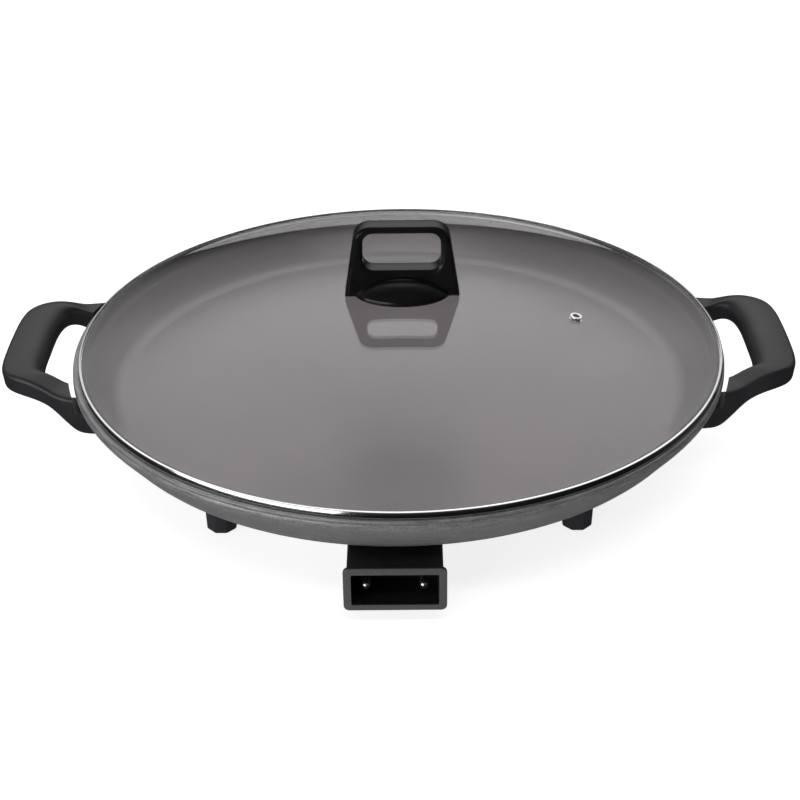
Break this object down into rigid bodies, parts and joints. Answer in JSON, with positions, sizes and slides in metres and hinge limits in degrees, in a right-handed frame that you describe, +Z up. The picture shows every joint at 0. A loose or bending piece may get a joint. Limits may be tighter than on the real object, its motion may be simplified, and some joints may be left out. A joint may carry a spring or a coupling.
{
  "type": "electric skillet",
  "caption": "Round electric skillet: a wide shallow cast pan on feet, with looped side handles, a terminal socket under the front and a lift-off domed glass lid.",
  "frame": {"origin": "on the table under the middle of the pan", "axes": "+X to the right along the two side handles, +Y to the back with the terminal socket facing -Y, +Z up"},
  "size_m": [0.4948, 0.4104, 0.153],
  "materials": {
    "pan_casting": "satin",
    "pan_coating": "matte",
    "element_sheath": "matte",
    "ceramic_seal": "matte",
    "pin_steel": "gloss",
    "socket_moulding": "satin",
    "screw_steel": "satin",
    "foot_moulding": "satin",
    "handle_moulding": "satin",
    "lid_glass": "gloss",
    "bright_steel": "gloss",
    "gloss_moulding": "gloss",
    "insert_brass": "satin",
    "gasket_rubber": "matte"
  },
  "bodies": {
    "base": {"pan": "pan_casting", "heating_element": "element_sheath", "element_seal_left": "ceramic_seal", "element_seal_right": "ceramic_seal", "terminal_pin_left": "pin_steel", "terminal_pin_right": "pin_steel", "probe_sleeve": "pin_steel", "socket_housing": "socket_moulding", "housing_screw_left": "screw_steel", "housing_screw_right": "screw_steel", "foot_front_left": "foot_moulding", "foot_front_right": "foot_moulding", "foot_rear_left": "foot_moulding", "foot_rear_right": "foot_moulding", "foot_screw_front_left": "screw_steel", "foot_screw_front_right": "screw_steel", "foot_screw_rear_left": "screw_steel", "foot_screw_rear_right": "screw_steel", "side_handle_left": "handle_moulding", "side_handle_right": "handle_moulding", "handle_screw_left_front": "screw_steel", "handle_screw_left_rear": "screw_steel", "handle_screw_right_front": "screw_steel", "handle_screw_right_rear": "screw_steel"},
    "lid": {"lid_glass": "lid_glass", "lid_rim": "bright_steel", "steam_vent": "bright_steel", "lid_handle": "gloss_moulding", "lid_handle_insert": "insert_brass", "lid_gasket": "gasket_rubber", "lid_washer": "screw_steel", "lid_screw": "screw_steel"}
  },
  "joints": [
    {"name": "lid_lift", "type": "slide", "parent": "base", "child": "lid", "axis": [0, 0, 1], "range_m": [0, 0.12]}
  ]
}
